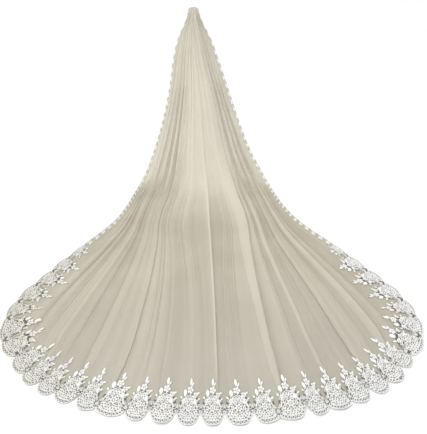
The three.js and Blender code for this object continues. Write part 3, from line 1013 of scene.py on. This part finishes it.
def make_stitches(material):
    """Whipped stitches over the ribbon, one in the dip beside each ruche."""
    points, faces = [], []
    for i in range(RUCHES - 1):
        turn = BAR_TURN * (2 * (i + 0.5) / (RUCHES - 1) - 1) * 0.97
        first = len(points)
        steps = 9
        for k in range(steps):
            t = k / (steps - 1)
            y = BAND_MIDDLE + (BAND_HALF + 0.1 * MM) * (2 * t - 1)
            high = BAND_FOOT + 0.3 * MM + (BAND_THICK - 0.7 * MM) * math.sin(math.pi * t) ** 0.5
            lean = turn + 0.012 * (t - 0.5)
            for corner in range(5):
                angle = corner * 2 * math.pi / 5
                out = STITCH * math.sin(angle)
                points.append(crown_point(lean + STITCH * math.cos(angle) / CROWN, y, high + out))
        for k in range(steps - 1):
            for corner in range(5):
                after = (corner + 1) % 5
                a, b = first + 5 * k, first + 5 * k + 5
                faces.append((a + corner, a + after, b + after, b + corner))
        last = first + 5 * steps - 5
        faces += [tuple(range(first, first + 5)), tuple(range(last, last + 5))[::-1]]
    thread = new_piece("binding_stitches", points, faces, material)
    tidy_normals(thread)
    return thread


def finish_comb(material):
    comb = bpy.data.objects["comb"]
    comb.data.materials.clear()
    comb.data.materials.append(material)


# ------------------------------------------------------------------ finishes
def add_node(tree, kind, **settings):
    """A node with its inputs set, or linked where the value is another node's output."""
    node = tree.nodes.new(kind)
    for name, value in settings.items():
        socket = node.inputs.get(name.replace("_", " "))
        if socket is None:
            setattr(node, name, value)
        elif isinstance(value, bpy.types.NodeSocket):
            tree.links.new(value, socket)
        else:
            socket.default_value = value
    return node


def own_place(tree):
    """Each point's place in its object's own coordinates, in metres."""
    return add_node(tree, "ShaderNodeTexCoord").outputs["Object"]


def new_group(name, inputs, outputs):
    group = bpy.data.node_groups.new(name, "ShaderNodeTree")
    kind = "NodeSocketFloat"
    for label, default in inputs.items():
        socket = group.interface.new_socket(label, in_out="INPUT", socket_type=kind)
        socket.default_value = default
    for label in outputs:
        group.interface.new_socket(label, in_out="OUTPUT", socket_type=kind)
    return group, group.nodes.new("NodeGroupInput").outputs, group.nodes.new("NodeGroupOutput").inputs


def blend_colours(tree, share, low, high):
    mix = tree.nodes.new("ShaderNodeMix")
    mix.data_type = "RGBA"
    for value, socket in ((share, mix.inputs[0]), (low, mix.inputs[6]), (high, mix.inputs[7])):
        if isinstance(value, bpy.types.NodeSocket):
            tree.links.new(value, socket)
        else:
            socket.default_value = value
    return mix.outputs[2]


def make_net_mesh():
    """Hexagonal net: how much thread there is at each point, and how it stands."""
    tree, given, out = new_group("net_mesh", {"Holes per metre": 500.0, "Thread": 0.12}, ["Thread", "Height"])
    place = own_place(tree)
    cells = add_node(tree, "ShaderNodeTexVoronoi", feature="DISTANCE_TO_EDGE", Vector=place, Scale=given[0])
    edge = cells.outputs["Distance"]
    span = add_node(tree, "ShaderNodeMapRange", interpolation_type="SMOOTHSTEP", Value=edge)
    tree.links.new(given[1], span.inputs["From Max"])
    span.inputs["To Min"].default_value = 1.0
    span.inputs["To Max"].default_value = 0.0
    tree.links.new(span.outputs[0], out["Thread"])
    tree.links.new(span.outputs[0], out["Height"])
    return tree


def make_soft_mottle():
    """Broad, faint unevenness of tone, as in any long length of cloth."""
    tree, given, out = new_group("soft_mottle", {"Patches per metre": 3.0}, ["Tone"])
    place = own_place(tree)
    cloud = add_node(tree, "ShaderNodeTexNoise", Vector=place, Detail=4.0, Roughness=0.55, Scale=given[0])
    tree.links.new(cloud.outputs["Fac"], out["Tone"])
    return tree


def placed_group(tree, group, **settings):
    node = tree.nodes.new("ShaderNodeGroup")
    node.node_tree = group
    for name, value in settings.items():
        node.inputs[name.replace("_", " ")].default_value = value
    return node


def new_material(name, roughness, sheen=0.0):
    material = bpy.data.materials.new(name)
    material.use_nodes = True
    shader = material.node_tree.nodes["Principled BSDF"]
    shader.inputs["Roughness"].default_value = roughness
    shader.inputs["Specular IOR Level"].default_value = 0.2
    shader.inputs["Sheen Weight"].default_value = sheen
    return material, material.node_tree, shader


def ranged(tree, value, low, high, start=0.0, end=1.0):
    return add_node(
        tree, "ShaderNodeMapRange", Value=value, From_Min=start, From_Max=end, To_Min=low, To_Max=high
    ).outputs[0]


def tulle_material(net_mesh, soft_mottle):
    """Champagne net: warm and sheer where it lies single, pale and closer where it is gathered, with a
    painted highlight on fold crests and painted shade in the hollows beside them.
    """
    material, tree, shader = new_material("champagne_tulle", 0.85, 0.15)
    gathered = add_node(tree, "ShaderNodeAttribute", attribute_name="gathered").outputs["Fac"]
    tone = placed_group(tree, soft_mottle, Patches_per_metre=2.6).outputs["Tone"]
    uneven = ranged(tree, tone, 0, 1, 0.35, 0.65)
    warm = blend_colours(tree, uneven, (0.455, 0.405, 0.300, 1), (0.53, 0.48, 0.37, 1))
    place = own_place(tree)
    along = add_node(tree, "ShaderNodeSeparateXYZ", Vector=place).outputs["Y"]
    single = blend_colours(tree, ranged(tree, along, 0.75, 0, -2.8, -1.2), warm, (0.515, 0.485, 0.415, 1))
    # painted shade: dark brown where gathered lies below PLAIN_TONE, in the hollows beside folds
    shaded = blend_colours(tree, ranged(tree, gathered, 0, 1, 0, PLAIN_TONE), (0.235, 0.205, 0.15, 1), single)
    # fuller net, and the painted highlight on fold crests, blend towards pale ivory
    fullness_and_highlight = ranged(tree, gathered, 0, 1, PLAIN_TONE, 1)
    colour = blend_colours(tree, fullness_and_highlight, shaded, (0.82, 0.79, 0.68, 1))
    tree.links.new(colour, shader.inputs["Base Color"])
    net = placed_group(tree, net_mesh, Holes_per_metre=560.0)
    sheer = ranged(tree, fullness_and_highlight, 0.46, 0.80)
    opacity = add_node(tree, "ShaderNodeMath", operation="MULTIPLY_ADD")
    tree.links.new(net.outputs["Thread"], opacity.inputs[0])
    opacity.inputs[1].default_value = 0.12
    tree.links.new(sheer, opacity.inputs[2])
    tree.links.new(opacity.outputs[0], shader.inputs["Alpha"])
    bump = add_node(tree, "ShaderNodeBump", Strength=0.15, Distance=0.0004, Height=net.outputs["Height"])
    tree.links.new(bump.outputs[0], shader.inputs["Normal"])
    return material


def thread_material(soft_mottle):
    """White satin-stitch thread."""
    material, tree, shader = new_material("white_thread", 0.6, 0.2)
    tone = placed_group(tree, soft_mottle, Patches_per_metre=40.0).outputs["Tone"]
    white = blend_colours(tree, tone, (0.86, 0.85, 0.82, 1), (0.97, 0.97, 0.96, 1))
    place = own_place(tree)
    across = add_node(tree, "ShaderNodeSeparateXYZ", Vector=place).outputs["X"]
    colour = blend_colours(tree, ranged(tree, across, 0.8, 0, -1.1, -0.3), white, (0.70, 0.68, 0.60, 1))
    tree.links.new(colour, shader.inputs["Base Color"])
    return material


def lace_net_material(net_mesh, name, colour, sheer, close):
    """The lace's own net, a little coarser than the tulle. sheer, close: how far it covers, 0 to 1."""
    material, tree, shader = new_material(name, 0.85)
    shader.inputs["Base Color"].default_value = colour
    net = placed_group(tree, net_mesh, Holes_per_metre=420.0)
    alpha = ranged(tree, net.outputs["Thread"], sheer, close)
    tree.links.new(alpha, shader.inputs["Alpha"])
    return material


def satin_material():
    """Ivory satin ribbon with a fine weave across it."""
    material, tree, shader = new_material("ivory_satin", 0.38, 0.3)
    shader.inputs["Base Color"].default_value = (0.78, 0.74, 0.64, 1)
    place = own_place(tree)
    weave = add_node(tree, "ShaderNodeTexWave", Vector=place, Scale=900.0, bands_direction="Y")
    bump = add_node(tree, "ShaderNodeBump", Strength=0.2, Distance=0.0001, Height=weave.outputs["Fac"])
    tree.links.new(bump.outputs[0], shader.inputs["Normal"])
    return material


def comb_material(soft_mottle):
    """Polished silver-coloured metal, a little uneven where it has been handled."""
    material, tree, shader = new_material("comb_metal", 0.25)
    shader.inputs["Base Color"].default_value = (0.72, 0.73, 0.75, 1)
    shader.inputs["Metallic"].default_value = 1.0
    tone = placed_group(tree, soft_mottle, Patches_per_metre=220.0).outputs["Tone"]
    tree.links.new(ranged(tree, tone, 0.18, 0.36), shader.inputs["Roughness"])
    return material


# ------------------------------------------------------------------ camera, floor and light
def make_camera():
    """The viewpoint: standing well behind the veil and looking down along the train."""
    eye = Vector((0.188, -3.65, FLOOR + 1.60))
    tilt = math.radians(31.3)
    camera = bpy.data.cameras.new("camera")
    camera.lens = 27.04
    camera.sensor_width = 36.0
    holder = add_object("camera", camera)
    holder.location = eye
    holder.rotation_euler = (math.radians(90) - tilt, 0, 0)
    bpy.context.scene.camera = holder


def make_floor():
    side = 14.0
    corners = [(x * side, y * side, FLOOR - MM) for x, y in ((-1, -1), (1, -1), (1, 1), (-1, 1))]
    mesh = bpy.data.meshes.new("floor")
    mesh.from_pydata(corners, [], [(0, 1, 2, 3)])
    floor = add_object("floor", mesh)
    material, _, shader = new_material("pale_floor", 0.95)
    shader.inputs["Base Color"].default_value = (1, 1, 1, 1)
    mesh.materials.append(material)
    floor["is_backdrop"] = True


def make_light():
    world = bpy.data.worlds.new("pale_room")
    world.use_nodes = True
    world.node_tree.nodes["Background"].inputs["Color"].default_value = (1, 1, 1, 1)
    world.node_tree.nodes["Background"].inputs["Strength"].default_value = 1.0
    bpy.context.scene.world = world
    lamps = [
        ("softbox_left", (-3.2, -2.6, 1.6), (0, -1.4, -1.5), 2.4, 70),
        ("softbox_right", (3.4, 0.6, 1.2), (0.2, -1.6, -1.6), 2.0, 40),
    ]
    for name, at, towards, size, watts in lamps:
        light = bpy.data.lights.new(name, "AREA")
        light.size = size
        light.energy = watts
        holder = add_object(name, light)
        holder.location = at
        aim = Vector(towards) - holder.location
        holder.rotation_euler = aim.to_track_quat("-Z", "Y").to_euler()
    bpy.context.scene.view_settings.view_transform = "Standard"
    bpy.context.scene.cycles.transparent_max_bounces = 64


def write_sizes():
    boxes = {"cad": cad_box, "visual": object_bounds()}
    {name: [list(corner) for corner in box] for name, box in boxes.items()}


make_camera()
make_floor()
make_light()
net_mesh = make_net_mesh()
soft_mottle = make_soft_mottle()
tulle = make_tulle(tulle_material(net_mesh, soft_mottle))
white_thread = thread_material(soft_mottle)
# the wide lace's net is dark brown as painted shade, so that the holes between its stitching read dark
wide_net_and_shade_finish = lace_net_material(net_mesh, "wide_lace_net_and_shade", (0.20, 0.19, 0.155, 1), 0.55, 0.8)
narrow_net_finish = lace_net_material(net_mesh, "narrow_lace_net", (0.66, 0.64, 0.54, 1), 0.25, 0.55)
make_all_lace(wide_net_and_shade_finish, narrow_net_finish, white_thread)
make_binding(satin_material())
make_stitches(white_thread)
finish_comb(comb_material(soft_mottle))
write_sizes()
